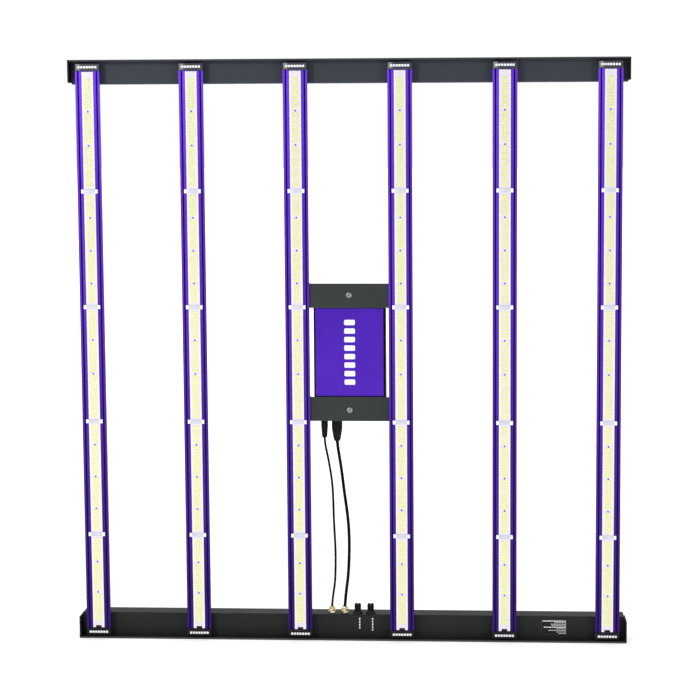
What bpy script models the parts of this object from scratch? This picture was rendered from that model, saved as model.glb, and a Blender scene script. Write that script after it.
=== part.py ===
"""Six-bar LED grow light: two hollow end rails, six finned LED bars and a driver slung between the middle bars.

X runs along the rails, Z along the bars and the LEDs face -Y. The light stands on its bottom rail.
Depths are counted from the front rim of the rails, so at(depth) turns one into a Y coordinate.
"""

import math

import bmesh
import bpy
from mathutils import Matrix, Vector
from mathutils.geometry import interpolate_bezier

# Overall size
WIDTH = 1.0725
HEIGHT = 1.1315
RAIL_HEIGHT = 0.0463
RAIL_DEPTH = 0.054
GAP = 0.0003

# Rail sheet and its back cover
SHEET = 0.0030
WEB_DEPTH = 0.020
WEB_THICKNESS = 0.002
COVER_THICKNESS = 0.002
RETURN_FLANGE = 0.009
RETURN_THICKNESS = 0.002
END_PLATE = 0.003
COVER_SCREW_X = (-0.430, 0.0, 0.430)

# LED bars
BAR_COUNT = 6
BAR_PITCH = 0.1995
BAR_WIDTH = 0.047
BAR_FRONT = 0.004
BAR_FLANGE_BACK = 0.0066
BAR_BOTTOM = 0.005
BAR_TOP = 1.125
CAP_LENGTH = 0.0148
CAP_FRONT = 0.0036

# LED boards, in five lengths that meet at four joints
BOARD_WIDTH = 0.022
BOARD_FRONT = 0.0044
BOARD_BACK = 0.0057
BOARD_TOP = 1.1094
BOARD_BOTTOM = 0.0202
BOARD_JOINTS = tuple(0.880 - 0.224 * index for index in range(4))
BOARD_NOTCH_WIDTH = 0.0114
BOARD_NOTCH_HEIGHT = 0.0048
BOARD_SCREWS = (1.0328, 0.9676, 0.8288, 0.7652, 0.702, 0.5916, 0.5256, 0.386, 0.3228, 0.2592, 0.1528, 0.092)
CLIP_WIDTH = 0.0326
CLIP_HEIGHT = 0.0076

# Driver and its two brackets
DRIVER_CENTRE_Z = 0.5675
DRIVER_HALF_LENGTH = 0.100
DRIVER_HALF_WIDTH = 0.0698
DRIVER_FRONT = 0.0136
DRIVER_BACK = 0.0495
DRIVER_WALL = 0.003
FACE_HALF_WIDTH = 0.066
FACE_HALF_LENGTH = 0.0855
LUG_LENGTH = 0.027
LUG_FRONT = 0.0108
BRACKET_INNER = 0.0868
BRACKET_OUTER = 0.134
BRACKET_FRONT = 0.008
BRACKET_SHEET = 0.0025
DRIVER_SCREW_OFFSET = 0.112
INLET_X = 0.034
INLET_HEIGHT = 0.0160
INLET_FLOOR = 0.0050

# Leads from the driver to the bottom rail, and the fittings on the rail's inner side
CONTROL_X = -0.0515
POWER_X = -0.0270
OUTLET_DEPTH = 0.033
FITTING_PITCH = 0.0254
FITTING_MIDDLE_X = -0.0016
FITTING_DEPTH = 0.033
CONTROL_CABLE_DIAMETER = 0.0044
POWER_CABLE_DIAMETER = 0.0060
GLAND_HEIGHT = 0.0132

# Hanging rings on the rails' covers
RING_X = 0.3990
RING_RISE = 0.0295
RING_WIRE = 0.0040
RING_HALF_WIDTH = 0.014
RING_LEG = 0.012
RING_CORNER = 0.005
SADDLE_HALF_WIDTH = 0.008
SADDLE_RADIUS = 0.0039
SADDLE_BORE = 0.0024
SADDLE_TOP = 0.012
RING_DEPTH = RAIL_DEPTH + GAP + SADDLE_RADIUS

DEPTH = RING_DEPTH + SADDLE_RADIUS
BAR_HALF = BAR_WIDTH / 2
BAR_SIDE = BAR_HALF - 0.0025
BAR_BACK = WEB_DEPTH - GAP
CHANNEL_HALF_LENGTH = WIDTH / 2 - END_PLATE - GAP
CHANNEL_BACK = RAIL_DEPTH - COVER_THICKNESS - GAP
FITTING_XS = tuple(FITTING_MIDDLE_X + (index - 1.5) * FITTING_PITCH for index in range(4))
BAR_XS = tuple((index - (BAR_COUNT - 1) / 2) * BAR_PITCH for index in range(BAR_COUNT))


def at(depth):
    """The Y coordinate of a depth behind the front rim, with the whole light centred on Y = 0."""
    return depth - DEPTH / 2


def clear_scene():
    for obj in list(bpy.data.objects):
        bpy.data.objects.remove(obj, do_unlink=True)


def make_material(name, colour, roughness, metallic=0.0):
    material = bpy.data.materials.new(name)
    material.use_nodes = True
    shader = material.node_tree.nodes["Principled BSDF"]
    shader.inputs["Base Color"].default_value = (*colour, 1.0)
    shader.inputs["Roughness"].default_value = roughness
    shader.inputs["Metallic"].default_value = metallic
    material.diffuse_color = (*colour, 1.0)
    return material


def place(name, bm, material, location=(0.0, 0.0, 0.0), parent=None):
    """Turns a bmesh built in world space into an object whose origin is at location."""
    bmesh.ops.recalc_face_normals(bm, faces=bm.faces)
    bmesh.ops.translate(bm, verts=bm.verts, vec=-Vector(location))
    mesh = bpy.data.meshes.new(name)
    bm.to_mesh(mesh)
    bm.free()
    mesh.shade_smooth()
    mesh.set_sharp_from_angle(angle=math.radians(32))
    mesh.materials.append(material)
    obj = bpy.data.objects.new(name, mesh)
    obj.location = location
    obj.parent = parent
    bpy.context.scene.collection.objects.link(obj)
    return obj


def add_box(bm, x, depth, z):
    """A box from three (low, high) pairs."""
    size = Vector((x[1] - x[0], depth[1] - depth[0], z[1] - z[0]))
    centre = Vector(((x[0] + x[1]) / 2, at((depth[0] + depth[1]) / 2), (z[0] + z[1]) / 2))
    matrix = Matrix.Translation(centre) @ Matrix.Diagonal((*size, 1.0))
    bmesh.ops.create_cube(bm, size=1.0, matrix=matrix)


def add_prism(bm, outline, low, high, to_point):
    """Extrudes a closed outline of pairs from low to high; to_point(a, b, along) gives the world point."""
    first = [bm.verts.new(to_point(a, b, low)) for a, b in outline]
    last = [bm.verts.new(to_point(a, b, high)) for a, b in outline]
    bm.faces.new(first)
    bm.faces.new(reversed(last))
    count = len(outline)
    for index in range(count):
        after = (index + 1) % count
        bm.faces.new((first[index], last[index], last[after], first[after]))


def along_x(depth, z, x):
    return Vector((x, at(depth), z))


def along_z(x, depth, z):
    return Vector((x, at(depth), z))


def add_turned(bm, profile, origin, axis, sides, turn=0.0):
    """Turns (radius, height) points about axis through origin. The first and last points lie on the axis."""
    frame = Vector(axis).to_track_quat("Z", "Y").to_matrix()
    start = Vector(origin)

    def point(radius, height, angle):
        return start + frame @ Vector((radius * math.cos(angle), radius * math.sin(angle), height))

    rings = []
    for radius, height in profile[1:-1]:
        angles = [turn + 2 * math.pi * side / sides for side in range(sides)]
        rings.append([bm.verts.new(point(radius, height, angle)) for angle in angles])
    for lower, upper in zip(rings, rings[1:]):
        for side in range(sides):
            after = (side + 1) % sides
            bm.faces.new((lower[side], lower[after], upper[after], upper[side]))
    bm.faces.new(reversed(rings[0]))
    bm.faces.new(rings[-1])


def rod(radius, low, high):
    """The profile of a plain cylinder."""
    return ((0, low), (radius, low), (radius, high), (0, high))


def arc(centre, radius, start, end, steps):
    """Points on a circle in a plane, angles in degrees."""
    angles = [math.radians(start + (end - start) * step / steps) for step in range(steps + 1)]
    return [(centre[0] + radius * math.cos(angle), centre[1] + radius * math.sin(angle)) for angle in angles]


def combine(obj, bm, operation):
    """Joins the solids in bm to obj, or takes them out of it, with a Boolean."""
    other = place(f"{obj.name}_{operation.lower()}", bm, obj.data.materials[0])
    other.hide_render = True
    other.display_type = "WIRE"
    modifier = obj.modifiers.new(operation.lower(), "BOOLEAN")
    modifier.operation = operation
    modifier.solver = "EXACT"
    modifier.object = other


def cut(obj, bm):
    combine(obj, bm, "DIFFERENCE")


def join(obj, bm):
    combine(obj, bm, "UNION")


def screw_profile(head_radius, head_height, shank_radius, shank_length):
    """A screw whose head starts at height 0 and whose shank runs below it."""
    return (
        (0, -shank_length),
        (shank_radius, -shank_length),
        (shank_radius, 0),
        (head_radius, 0),
        (head_radius * 0.86, head_height),
        (0, head_height),
    )


# Rails ---------------------------------------------------------------------------------------------


def rail_outline():
    """The rail's section as (depth, distance from the outer edge): a box channel with a lip in front."""
    inner = RAIL_HEIGHT - 0.0022
    corner = arc((WEB_DEPTH + 0.003, RAIL_HEIGHT - 0.003), 0.003, 90, 180, 3)
    web_back = WEB_DEPTH + WEB_THICKNESS
    flange_front = CHANNEL_BACK - RETURN_THICKNESS
    return [
        (0.0, 0.0),
        (CHANNEL_BACK, 0.0),
        (CHANNEL_BACK, RETURN_FLANGE),
        (flange_front, RETURN_FLANGE),
        (flange_front, SHEET),
        (web_back, SHEET),
        (web_back, inner),
        (flange_front, inner),
        (flange_front, RAIL_HEIGHT - RETURN_FLANGE),
        (CHANNEL_BACK, RAIL_HEIGHT - RETURN_FLANGE),
        (CHANNEL_BACK, RAIL_HEIGHT),
        *corner,
        (WEB_DEPTH, SHEET),
        (0.0, SHEET),
    ]


def rail_z(is_top, inward):
    """The height of a point that lies a distance inward from a rail's outer edge."""
    return HEIGHT - inward if is_top else inward


def bar_z(is_top, inward):
    """The height of a point that lies a distance inward from a bar's end."""
    return BAR_TOP - inward if is_top else BAR_BOTTOM + inward


def cover_screw_places(is_top):
    flange_middle = RETURN_FLANGE - 0.0035
    for x in COVER_SCREW_X:
        yield x, rail_z(is_top, flange_middle)
        yield x, rail_z(is_top, RAIL_HEIGHT - flange_middle)


def bar_screw_z(is_top):
    return rail_z(is_top, 0.030)


def pivot_z(is_top):
    """The height of the rings' pivots on a rail."""
    return RING_RISE + (HEIGHT - RAIL_HEIGHT if is_top else 0.0)


def rail_channel(name, is_top, material):
    """The folded channel, with the screws that run forward through its web into the bars."""
    bm = bmesh.new()
    outline = [(depth, rail_z(is_top, inward)) for depth, inward in rail_outline()]
    add_prism(bm, outline, -CHANNEL_HALF_LENGTH, CHANNEL_HALF_LENGTH, along_x)
    channel = place(name, bm, material)
    screws = bmesh.new()
    for x in BAR_XS:
        origin = (x, at(WEB_DEPTH + WEB_THICKNESS - 0.0004), bar_screw_z(is_top))
        add_turned(screws, screw_profile(0.0042, 0.0030, 0.0021, 0.0100), origin, (0, 1, 0), 8)
    join(channel, screws)
    holes = bmesh.new()
    for x, z in cover_screw_places(is_top):
        origin = (x, at(CHANNEL_BACK - 0.004), z)
        add_turned(holes, rod(0.0018, 0.0, 0.008), origin, (0, 1, 0), 6)
    if not is_top:
        for x in FITTING_XS:
            origin = (x, at(FITTING_DEPTH), RAIL_HEIGHT - 0.005)
            add_turned(holes, rod(0.0056, 0.0, 0.010), origin, (0, 0, 1), 12)
    cut(channel, holes)


def ring_eye_outline(z):
    """A folded strap as (depth, height) that curls round a ring's straight bar and lies on the cover again."""
    layer = RAIL_DEPTH + 0.003
    curl = arc((z, RING_DEPTH), SADDLE_RADIUS, 270, 90, 8)
    outline = [(z + SADDLE_TOP, RAIL_DEPTH - 0.0008), *curl, (z + 0.0065, layer), (z + SADDLE_TOP, layer)]
    outline[1] = (z, RAIL_DEPTH - 0.0008)
    return [(depth, height) for height, depth in outline]


def rail_cover(name, is_top, material):
    """The flat plate on the rail's back, with its screws and the two eyes that the rings swing in."""
    bm = bmesh.new()
    span = sorted((rail_z(is_top, 0.0), rail_z(is_top, RAIL_HEIGHT)))
    x = (-CHANNEL_HALF_LENGTH, CHANNEL_HALF_LENGTH)
    add_box(bm, x, (RAIL_DEPTH - COVER_THICKNESS, RAIL_DEPTH), span)
    cover = place(name, bm, material)
    fittings = bmesh.new()
    for x, z in cover_screw_places(is_top):
        profile = screw_profile(0.003, 0.0020, 0.0014, 0.0056)
        add_turned(fittings, profile, (x, at(RAIL_DEPTH - 0.0003), z), (0, 1, 0), 8)
    z = pivot_z(is_top)
    for x in (-RING_X, RING_X):
        add_prism(fittings, ring_eye_outline(z), x - SADDLE_HALF_WIDTH, x + SADDLE_HALF_WIDTH, along_x)
    join(cover, fittings)
    bores = bmesh.new()
    for x in (-RING_X, RING_X):
        add_turned(bores, rod(SADDLE_BORE, -0.012, 0.012), (x, at(RING_DEPTH), z), (1, 0, 0), 12)
    cut(cover, bores)


def rail_end_plate(name, side, is_top, material):
    """A full-depth plate whose inner back corner is cut off. It ends under the rail's inner sheet."""
    bm = bmesh.new()
    ease = 0.001
    inner = RAIL_HEIGHT - 0.0029
    outline = [
        (0.0, 0.0),
        (RAIL_DEPTH - ease, 0.0),
        (RAIL_DEPTH, ease),
        (RAIL_DEPTH, inner - 0.006),
        (RAIL_DEPTH - 0.014, inner),
        (0.0, inner),
    ]
    outline = [(depth, rail_z(is_top, inward)) for depth, inward in outline]
    outer = side * WIDTH / 2
    add_prism(bm, outline, outer - side * END_PLATE, outer, along_x)
    place(name, bm, material)


# LED bars ------------------------------------------------------------------------------------------


def bar_outline():
    """The extrusion's section as (x, depth): board seat, ledges, grooves, front flanges, side slots and back fins."""
    seat = BOARD_WIDTH / 2 + GAP
    ledge = BAR_HALF - 0.007
    wall = BAR_HALF - 0.004
    half = [
        (seat, 0.0060),
        (seat, 0.0048),
        (ledge, 0.0048),
        (ledge, 0.0080),
        (wall, 0.0080),
        (wall, BAR_FRONT),
        (BAR_HALF, BAR_FRONT),
        (BAR_HALF, BAR_FLANGE_BACK),
        (BAR_SIDE, BAR_FLANGE_BACK),
        (BAR_SIDE, 0.0115),
        (BAR_SIDE - 0.0018, 0.0115),
        (BAR_SIDE - 0.0018, 0.0165),
        (BAR_SIDE, 0.0165),
        (BAR_SIDE, BAR_BACK),
        (0.0160, BAR_BACK),
        (0.0160, 0.0100),
    ]
    for fin in (0.0118, 0.0074, 0.0028):
        half += [(fin + 0.0016, 0.0100), (fin + 0.0016, BAR_BACK), (fin, BAR_BACK), (fin, 0.0100)]
    return half + [(-x, depth) for x, depth in reversed(half)]


def bar_extrusion(number, x, material):
    bm = bmesh.new()
    outline = [(x + across, depth) for across, depth in bar_outline()]
    margin = CAP_LENGTH + GAP
    add_prism(bm, outline, bar_z(False, margin), bar_z(True, margin), along_z)
    place(f"light_bar_{number}", bm, material)


def board_spans():
    """The (low, high) heights of the five boards, top one first."""
    edges = (BOARD_TOP, *BOARD_JOINTS, BOARD_BOTTOM)
    return [(below + GAP, above - GAP) for above, below in zip(edges, edges[1:])]


def led_strip(number, x, material):
    """A bar's five LED boards, with the straps that bridge their joints and the screws that hold them down."""
    bm = bmesh.new()
    half = BOARD_WIDTH / 2
    notch = BOARD_NOTCH_WIDTH / 2
    spans = board_spans()
    for low, high in spans[:-1]:
        add_box(bm, (x - half, x + half), (BOARD_FRONT, BOARD_BACK), (low, high))
    low, high = spans[-1]
    shelf = low + BOARD_NOTCH_HEIGHT
    half_outline = [(half, high), (half, low), (notch, low), (notch, shelf)]
    outline = half_outline + [(-across, z) for across, z in reversed(half_outline)]
    outline = [(x + across, z) for across, z in outline]
    add_prism(bm, outline, BOARD_FRONT, BOARD_BACK, lambda a, b, depth: Vector((a, at(depth), b)))
    strip = place(f"led_strip_{number}", bm, material)
    fittings = bmesh.new()
    edge = CLIP_WIDTH / 2
    foot = BOARD_WIDTH / 2 - 0.0004
    half_section = [(edge, 0.0029), (edge, 0.0045), (foot, 0.0045), (foot, 0.0052)]
    section = half_section + [(-across, depth) for across, depth in reversed(half_section)]
    section = [(x + across, depth) for across, depth in section]
    for joint in BOARD_JOINTS:
        add_prism(fittings, section, joint - CLIP_HEIGHT / 2, joint + CLIP_HEIGHT / 2, along_z)
    for z in BOARD_SCREWS:
        add_turned(fittings, rod(0.0017, 0.0, 0.0014), (x, at(BOARD_FRONT + 0.0003), z), (0, -1, 0), 6)
    join(strip, fittings)


def bar_end_cap(name, x, is_top, material):
    """The moulded cover on a bar's end. The lower one carries the lead socket in the lowest board's notch."""
    bm = bmesh.new()
    ease = 0.0015
    half, side = BAR_HALF - 0.0002, BAR_SIDE - 0.0002
    right = [(half, CAP_FRONT), (half, BAR_FLANGE_BACK), (side, BAR_FLANGE_BACK), (side, BAR_BACK)]
    outline = [(x + across, depth) for across, depth in right + [(-across, depth) for across, depth in reversed(right)]]
    add_prism(bm, outline, *sorted((bar_z(is_top, 0.0), bar_z(is_top, CAP_LENGTH))), along_z)
    cap = place(name, bm, material)
    corner = bmesh.new()
    wedge = [(CAP_FRONT - 0.001, -0.001), (CAP_FRONT + ease + 0.001, -0.001), (CAP_FRONT - 0.001, ease + 0.001)]
    add_prism(corner, [(depth, bar_z(is_top, inward)) for depth, inward in wedge], x - 0.03, x + 0.03, along_x)
    cut(cap, corner)
    if not is_top:
        socket = bmesh.new()
        half = BOARD_NOTCH_WIDTH / 2 - GAP
        top = BOARD_BOTTOM + BOARD_NOTCH_HEIGHT
        add_box(socket, (x - half, x + half), (0.0040, BOARD_BACK), (bar_z(False, CAP_LENGTH - 0.001), top))
        join(cap, socket)


# Driver --------------------------------------------------------------------------------------------


def driver_case(material):
    """A rectangular tube with eased corners and a rib along each side, open at both ends."""
    bm = bmesh.new()
    ease = 0.004
    front, back, wide = DRIVER_FRONT, DRIVER_BACK, DRIVER_HALF_WIDTH
    half = [(wide - ease, front), (wide, front + ease), (wide, back - ease), (wide - ease, back)]
    outer = half + [(-x, depth) for x, depth in reversed(half)]
    front, back, wide = front + DRIVER_WALL, back - DRIVER_WALL, wide - DRIVER_WALL
    inner = [(wide, front), (wide, back), (-wide, back), (-wide, front)]
    low, high = DRIVER_CENTRE_Z - DRIVER_HALF_LENGTH, DRIVER_CENTRE_Z + DRIVER_HALF_LENGTH
    add_prism(bm, outer, low, high, along_z)
    case = place("driver_case", bm, material)
    bore = bmesh.new()
    add_prism(bore, inner, low - 0.01, high + 0.01, along_z)
    for side in (-1, 1):
        for depth in (0.0235, 0.0295, 0.0355, 0.0415):
            edge = side * DRIVER_HALF_WIDTH
            groove = sorted((edge - side * 0.0014, edge + side * 0.002))
            add_box(bore, groove, (depth, depth + 0.003), (low - 0.01, high + 0.01))
    cut(case, bore)


def driver_face_panel(material):
    """The coloured plate on the driver's front."""
    bm = bmesh.new()
    ease = 0.0006
    front, back, wide = 0.0116, DRIVER_FRONT - GAP, FACE_HALF_WIDTH
    half = [(wide - ease, front), (wide, front + ease), (wide, back)]
    outline = half + [(-x, depth) for x, depth in reversed(half)]
    low, high = DRIVER_CENTRE_Z - FACE_HALF_LENGTH, DRIVER_CENTRE_Z + FACE_HALF_LENGTH
    add_prism(bm, outline, low, high, along_z)
    place("driver_face_panel", bm, material)


def driver_end_cover(name, side, holes, material):
    """A folded end plate with a lug behind the bracket; holes are (x, radius) of round outlets."""
    bm = bmesh.new()
    start = DRIVER_HALF_LENGTH + GAP
    back = DRIVER_BACK - 0.0004
    outline = [
        (LUG_FRONT, start),
        (back, start),
        (back, start + 0.003),
        (LUG_FRONT + 0.0026, start + 0.003),
        (LUG_FRONT + 0.0026, start + LUG_LENGTH),
        (LUG_FRONT, start + LUG_LENGTH),
    ]
    outline = [(depth, DRIVER_CENTRE_Z + side * reach) for depth, reach in outline]
    add_prism(bm, outline, -0.062, 0.062, along_x)
    cover = place(name, bm, material)
    holes_bm = bmesh.new()
    screw_z = DRIVER_CENTRE_Z + side * DRIVER_SCREW_OFFSET
    add_turned(holes_bm, rod(0.0034, 0.0, 0.006), (0, at(LUG_FRONT - 0.002), screw_z), (0, 1, 0), 12)
    for x, radius in holes:
        origin = (x, at(OUTLET_DEPTH), DRIVER_CENTRE_Z + side * (start - 0.003))
        add_turned(holes_bm, rod(radius, 0.0, 0.009), origin, (0, 0, side), 12)
    cut(cover, holes_bm)


def driver_circuit_board(material):
    """The driver's board with its transformer, chokes and capacitors as blocks that stand on it."""
    bm = bmesh.new()
    z = DRIVER_CENTRE_Z
    add_box(bm, (-0.060, 0.060), (0.0440, 0.0456), (z - 0.092, z + 0.092))
    board = place("driver_circuit_board", bm, material)
    components = bmesh.new()
    foot = 0.0445
    blocks = (
        ((-0.030, 0.016), 0.020, (0.010, 0.056)),
        ((-0.050, -0.012), 0.024, (-0.052, -0.012)),
        ((0.024, 0.052), 0.022, (-0.060, 0.030)),
        ((-0.020, 0.010), 0.030, (-0.086, -0.062)),
    )
    for x, front, rise in blocks:
        add_box(components, x, (front, foot), (z + rise[0], z + rise[1]))
    for x in (-0.046, 0.034):
        add_turned(components, rod(0.009, 0.0, 0.024), (x, at(foot), z + 0.074), (0, -1, 0), 12)
    join(board, components)


def bracket_screw_places(side):
    """Where the side screws sit on the inside of the bracket's flanges: (x, z, outward direction)."""
    middle = DRIVER_CENTRE_Z + side * (BRACKET_INNER + BRACKET_OUTER) / 2
    inside = BAR_PITCH / 2 - BAR_SIDE - BRACKET_SHEET - GAP
    for outward in (-1, 1):
        for offset in (-0.014, 0.014):
            yield outward * inside, middle + offset, outward


def driver_bracket(name, side, material):
    """A plate between the two middle bars, under their flanges, folded back along each and screwed into its slot."""
    bm = bmesh.new()
    reach = BAR_PITCH / 2 - BAR_SIDE - GAP
    front, fold_back = BRACKET_FRONT, BAR_BACK - 0.0004
    half = [
        (reach - 0.0006, front),
        (reach, front + 0.0006),
        (reach, fold_back),
        (reach - BRACKET_SHEET, fold_back),
        (reach - BRACKET_SHEET, front + BRACKET_SHEET),
    ]
    outline = half + [(-x, depth) for x, depth in reversed(half)]
    low, high = sorted((DRIVER_CENTRE_Z + side * BRACKET_INNER, DRIVER_CENTRE_Z + side * BRACKET_OUTER))
    add_prism(bm, outline, low, high, along_z)
    bracket = place(name, bm, material)
    screws = bmesh.new()
    for x, z, outward in bracket_screw_places(side):
        origin = (x + outward * 0.0003, at(0.014), z)
        add_turned(screws, screw_profile(0.0031, 0.0022, 0.0019, 0.0038), origin, (-outward, 0, 0), 8)
    join(bracket, screws)
    hole = bmesh.new()
    screw_z = DRIVER_CENTRE_Z + side * DRIVER_SCREW_OFFSET
    add_turned(hole, rod(0.0034, 0.0, 0.006), (0, at(front - 0.002), screw_z), (0, 1, 0), 12)
    cut(bracket, hole)


def driver_screw(name, side, material):
    """A button-head screw with a round socket, through the bracket into the driver's lug."""
    bm = bmesh.new()
    origin = (0, at(BRACKET_FRONT - GAP), DRIVER_CENTRE_Z + side * DRIVER_SCREW_OFFSET)
    profile = (
        (0, -0.0080),
        (0.0029, -0.0080),
        (0.0029, 0),
        (0.0063, 0),
        (0.0060, 0.0014),
        (0.0046, 0.0029),
        (0.0024, 0.0034),
        (0.0021, 0.0014),
        (0, 0.0014),
    )
    add_turned(bm, profile, origin, (0, -1, 0), 12)
    place(name, bm, material)


def mains_inlet(material):
    """A round three-pin inlet on the driver's upper end, behind the bracket."""
    bm = bmesh.new()
    origin = (INLET_X, at(OUTLET_DEPTH), DRIVER_CENTRE_Z + DRIVER_HALF_LENGTH + 2 * GAP + 0.003)
    profile = (
        (0, -0.0080),
        (0.0094, -0.0080),
        (0.0094, 0),
        (0.0125, 0),
        (0.0125, 0.0030),
        (0.0095, 0.0030),
        (0.0095, INLET_HEIGHT),
        (0.0078, INLET_HEIGHT),
        (0.0078, INLET_FLOOR),
        (0, INLET_FLOOR),
    )
    add_turned(bm, profile, origin, (0, 0, 1), 16)
    inlet = place("mains_inlet", bm, material)
    pins = bmesh.new()
    for index in range(3):
        angle = math.radians(90 + 120 * index)
        offset = Vector((0.0048 * math.cos(angle), 0.0048 * math.sin(angle), INLET_FLOOR - 0.001))
        add_turned(pins, rod(0.0009, 0.0, 0.0095), Vector(origin) + offset, (0, 0, 1), 6)
    join(inlet, pins)


# Leads and rail fittings ---------------------------------------------------------------------------


def strain_relief(name, x, radii, lower_end, material):
    """A tapered sleeve under the driver. radii are those of its collar, its shoulder and its tip."""
    bm = bmesh.new()
    collar, shoulder, tip = radii
    top = DRIVER_CENTRE_Z - DRIVER_HALF_LENGTH - 0.003 - 2 * GAP
    length = top - lower_end
    profile = (
        (0, -0.0050),
        (shoulder * 0.78, -0.0050),
        (shoulder * 0.78, 0),
        (collar, 0),
        (collar, length * 0.34),
        (shoulder, length * 0.40),
        (tip * 1.06, length - 0.0025),
        (tip * 0.82, length),
        (0, length),
    )
    add_turned(bm, profile, (x, at(OUTLET_DEPTH), top), (0, 0, -1), 14)
    place(name, bm, material)


def smooth_route(points, step):
    """Points a step apart on a smooth curve through the route's own points."""
    route = [Vector((x, at(depth), z)) for x, depth, z in points]
    fine = []
    for index in range(len(route) - 1):
        before = route[max(index - 1, 0)]
        start, end = route[index], route[index + 1]
        after = route[min(index + 2, len(route) - 1)]
        leave = start + (end - before) / 6
        arrive = end - (after - start) / 6
        fine += interpolate_bezier(start, leave, arrive, end, 24)[:-1]
    fine.append(route[-1])
    lengths = [0.0]
    for start, end in zip(fine, fine[1:]):
        lengths.append(lengths[-1] + (end - start).length)
    count = max(2, round(lengths[-1] / step))
    spaced = []
    index = 0
    for stop in range(count + 1):
        target = lengths[-1] * stop / count
        while index < len(fine) - 2 and lengths[index + 1] < target:
            index += 1
        share = (target - lengths[index]) / (lengths[index + 1] - lengths[index])
        spaced.append(fine[index].lerp(fine[index + 1], min(max(share, 0.0), 1.0)))
    return spaced


def tube(name, points, diameter, material, location=(0.0, 0.0, 0.0), closed=False):
    curve = bpy.data.curves.new(name, "CURVE")
    curve.dimensions = "3D"
    curve.bevel_depth = diameter / 2
    curve.bevel_resolution = 2
    curve.use_fill_caps = not closed
    spline = curve.splines.new("POLY")
    spline.points.add(len(points) - 1)
    for target, point in zip(spline.points, points):
        target.co = (*point, 1.0)
    spline.use_cyclic_u = closed
    curve.materials.append(material)
    obj = bpy.data.objects.new(name, curve)
    obj.location = location
    bpy.context.scene.collection.objects.link(obj)
    return obj


# Each lead's route as (x, depth, z), from its strain relief down to its gland.
CONTROL_ROUTE = (
    (CONTROL_X, OUTLET_DEPTH, 0.3964),
    (-0.0502, 0.0328, 0.3820),
    (-0.0428, 0.0316, 0.3440),
    (-0.0367, 0.0306, 0.2980),
    (-0.0345, 0.0304, 0.2330),
    (-0.0319, 0.0310, 0.1670),
    (-0.0332, 0.0318, 0.1130),
    (-0.0376, 0.0326, 0.0800),
    (FITTING_XS[0], FITTING_DEPTH, 0.0601),
)
POWER_ROUTE = (
    (POWER_X, OUTLET_DEPTH, 0.3897),
    (-0.0252, 0.0326, 0.3740),
    (-0.0190, 0.0308, 0.3340),
    (-0.0137, 0.0296, 0.2907),
    (-0.0068, 0.0294, 0.2354),
    (-0.0046, 0.0302, 0.1855),
    (-0.0068, 0.0314, 0.1286),
    (-0.0118, 0.0324, 0.0860),
    (FITTING_XS[1], FITTING_DEPTH, 0.0601),
)


def gland_body(name, x, material):
    """A gland's hexagonal base, threaded through the rail's side."""
    bm = bmesh.new()
    profile = ((0, -0.009), (0.0052, -0.009), (0.0052, 0), (0.0078, 0), (0.0078, 0.0042), (0, 0.0042))
    add_turned(bm, profile, (x, at(FITTING_DEPTH), RAIL_HEIGHT + GAP), (0, 0, 1), 6, turn=math.radians(15))
    place(name, bm, material)


def gland_nut(name, x, material):
    """The domed nut that clamps the lead."""
    bm = bmesh.new()
    origin = (x, at(FITTING_DEPTH), RAIL_HEIGHT + 2 * GAP + 0.0042)
    top = GLAND_HEIGHT - 0.0042 - 2 * GAP
    profile = ((0, 0), (0.0074, 0), (0.0074, 0.0048), (0.0064, 0.0074), (0.0046, top), (0, top))
    add_turned(bm, profile, origin, (0, 0, 1), 12)
    place(name, bm, material)


def control_port(number, x, material):
    """A round socket with a flange on the rail and a shallow contact face in its mouth."""
    bm = bmesh.new()
    origin = (x, at(FITTING_DEPTH), RAIL_HEIGHT + GAP)
    profile = (
        (0, -0.0100),
        (0.0052, -0.0100),
        (0.0052, 0),
        (0.0098, 0),
        (0.0098, 0.0022),
        (0.0088, 0.0040),
        (0.0042, 0.0040),
        (0.0042, 0.0130),
        (0.0036, 0.0130),
        (0.0036, 0.0080),
        (0, 0.0080),
    )
    add_turned(bm, profile, origin, (0, 0, 1), 16)
    place(f"control_port_{number}", bm, material)


def dust_cap(number, x, material):
    """A soft cap over the port's barrel, with a notch across its crown that leaves two finger lobes."""
    bm = bmesh.new()
    base = RAIL_HEIGHT + 0.0046
    profile = (
        (0, 0.0096),
        (0.0045, 0.0096),
        (0.0045, 0.0),
        (0.0066, 0.0),
        (0.0066, 0.0108),
        (0.0060, 0.0132),
        (0.0048, 0.0142),
        (0, 0.0142),
    )
    add_turned(bm, profile, (x, at(FITTING_DEPTH), base), (0, 0, 1), 16)
    cap = place(f"dust_cap_{number}", bm, material, location=(x, at(FITTING_DEPTH), base))
    notch = bmesh.new()
    add_turned(notch, rod(0.0018, -0.010, 0.010), (x, at(FITTING_DEPTH), base + 0.0150), (0, 1, 0), 8)
    cut(cap, notch)


def distribution_board(material):
    """The long board inside the bottom rail that shares the driver's output, with a socket under each bar."""
    bm = bmesh.new()
    reach = BAR_XS[-1] + 0.012
    add_box(bm, (-reach, reach), (0.0260, 0.0276), (0.0060, 0.0240))
    board = place("distribution_board", bm, material)
    sockets = bmesh.new()
    for x in BAR_XS:
        add_box(sockets, (x - 0.008, x + 0.008), (0.0272, 0.0380), (0.0075, 0.0165))
    join(board, sockets)


def rating_plate(material):
    bm = bmesh.new()
    add_box(bm, (0.3712, 0.4208), (WEB_DEPTH - GAP - 0.0005, WEB_DEPTH - GAP), (0.0100, 0.0398))
    place("rating_plate", bm, material)


# Hanging rings -------------------------------------------------------------------------------------


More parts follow.
